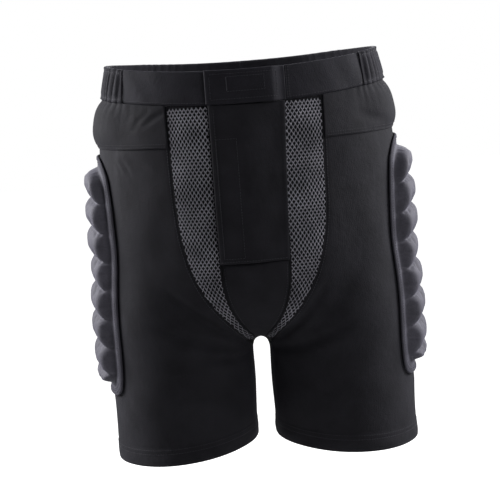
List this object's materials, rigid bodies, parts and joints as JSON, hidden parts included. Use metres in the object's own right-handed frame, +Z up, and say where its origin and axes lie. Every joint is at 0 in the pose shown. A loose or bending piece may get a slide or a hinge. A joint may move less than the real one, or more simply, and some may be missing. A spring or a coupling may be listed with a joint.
{
  "type": "padded impact shorts",
  "caption": "Stretch under-shorts with ribbed foam pads over the hips, seat and tailbone, mesh strips and a hook-and-loop fly, worn under ski or snowboard trousers.",
  "frame": {"origin": "centre of the waist opening", "axes": "+Z up out of the waist, -Y the wearer's front, +X the wearer's left"},
  "size_m": [0.3588, 0.2436, 0.4238],
  "materials": {
    "shell": "matt brushed stretch jersey, near black",
    "waistband": "matt stretch jersey, gathered over elastic",
    "mesh": "open diamond net, dark grey thread",
    "pad_cover": "moulded stretch jersey with a soft sheen",
    "binding": "folded stretch binding with topstitching",
    "foam": "closed-cell foam",
    "elastic": "woven elastic",
    "hook_tape": "nylon hook tape",
    "loop_tape": "nylon loop tape",
    "label": "woven satin label, blank"
  },
  "bodies": {
    "shorts": {"back_panel_left": "shell", "back_panel_right": "shell", "care_label": "label", "crotch_panel": "shell", "fly_hook_strip": "hook_tape", "fly_underlap": "shell", "front_panel_left": "shell", "front_panel_right": "shell", "hem_facing_left": "shell", "hem_facing_right": "shell", "hip_foam_left": "foam", "hip_foam_right": "foam", "hip_yoke_left": "shell", "hip_yoke_right": "shell", "mesh_panel_left": "mesh", "mesh_panel_right": "mesh", "seat_pad_binding_left": "binding", "seat_pad_binding_right": "binding", "seat_pad_cover_left": "pad_cover", "seat_pad_cover_right": "pad_cover", "seat_pad_foam_left": "foam", "seat_pad_foam_right": "foam", "side_pad_binding_left": "binding", "side_pad_binding_right": "binding", "side_pad_cover_left": "pad_cover", "side_pad_cover_right": "pad_cover", "side_pad_foam_left": "foam", "side_pad_foam_right": "foam", "size_label": "label", "tailbone_pad_binding": "binding", "tailbone_pad_cover": "pad_cover", "tailbone_pad_foam": "foam", "waist_elastic": "elastic", "waist_hook_patch": "hook_tape", "waistband_back": "waistband", "waistband_front_left": "waistband", "waistband_front_right": "waistband"},
    "fly": {"waist_tab": "waistband", "waist_loop_patch": "loop_tape", "fly_flap": "shell", "fly_loop_strip": "loop_tape"}
  },
  "joints": [
    {"name": "fly_opening", "type": "hinge", "parent": "shorts", "child": "fly", "pos_m": [0.03944, -0.10473, -0.08], "axis": [0.0392, 0.0772, 0.9962], "range_deg": [0, 115]}
  ]
}
